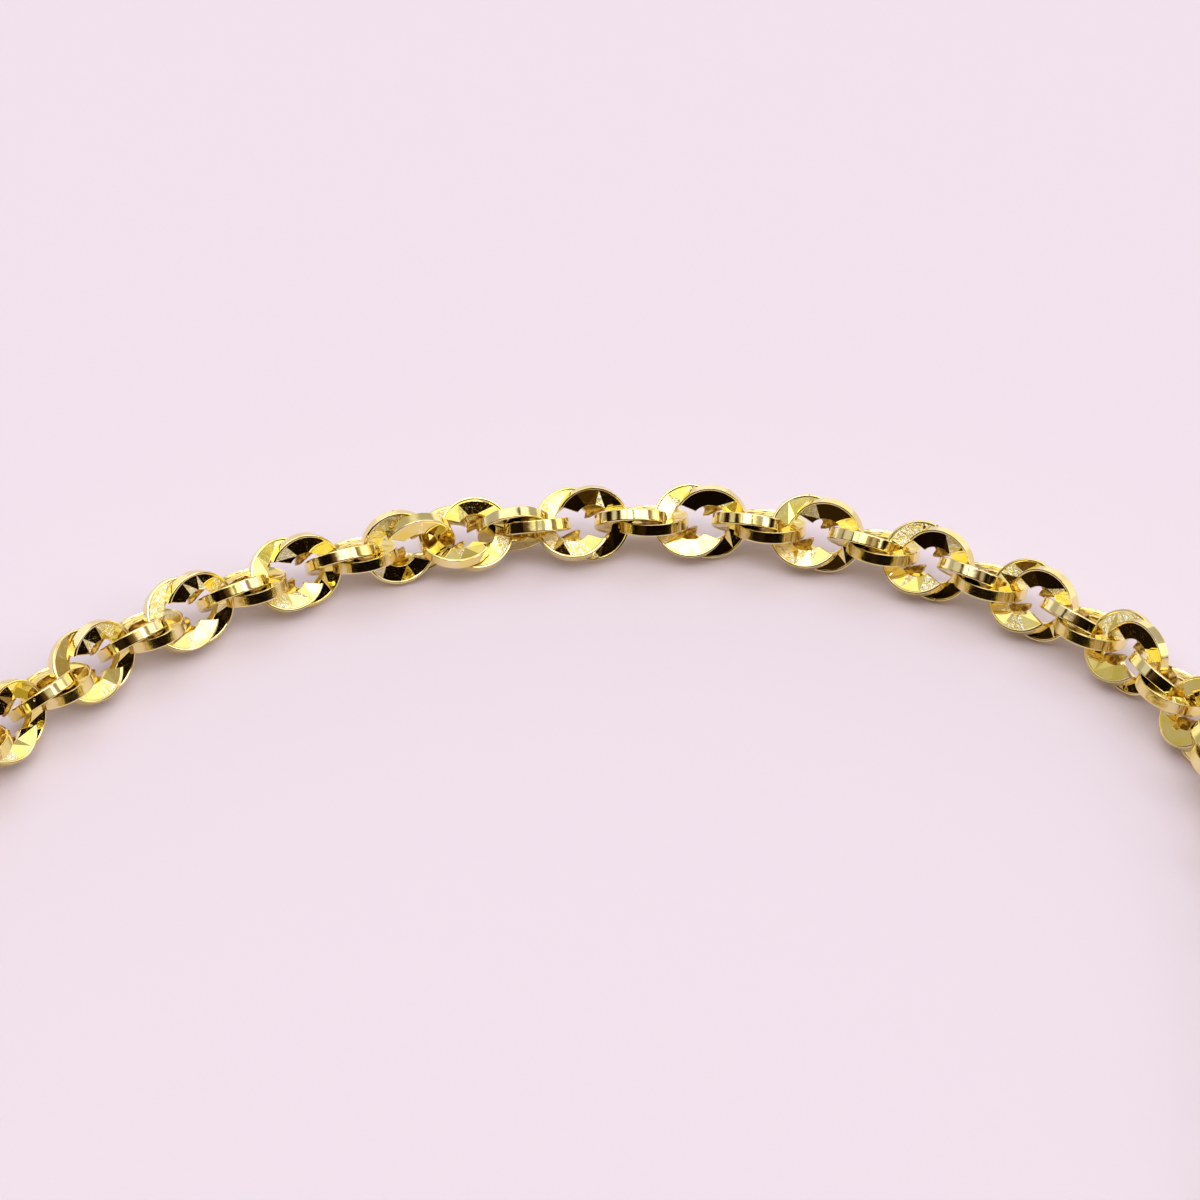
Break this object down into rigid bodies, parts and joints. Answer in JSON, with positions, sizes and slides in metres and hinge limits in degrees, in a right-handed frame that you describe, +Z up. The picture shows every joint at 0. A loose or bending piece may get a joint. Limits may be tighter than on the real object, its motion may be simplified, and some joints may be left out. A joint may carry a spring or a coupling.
{
  "type": "twisted link bracelet",
  "caption": "Closed bracelet of crossed open rings soldered as links and joined crosswise, with a plain clasp and jump rings.",
  "frame": {"origin": "centre of the loop seen from above, on the surface that the bracelet lies on", "axes": "+Z up, away from the surface; +Y from the near side of the loop to the far side that the picture shows; +X to the right in the picture"},
  "size_m": [0.0568, 0.061, 0.0031],
  "materials": {
    "chain_gold": "yellow gold, high polish, faces cut in flat facets",
    "clasp_gold": "yellow gold, polished casting",
    "wire_gold": "yellow gold, polished round wire"
  },
  "bodies": {
    "root": {"chain_far": "chain_gold", "chain_near": "chain_gold", "clasp": "clasp_gold", "clasp_ring": "wire_gold", "end_ring": "wire_gold"}
  },
  "joints": []
}
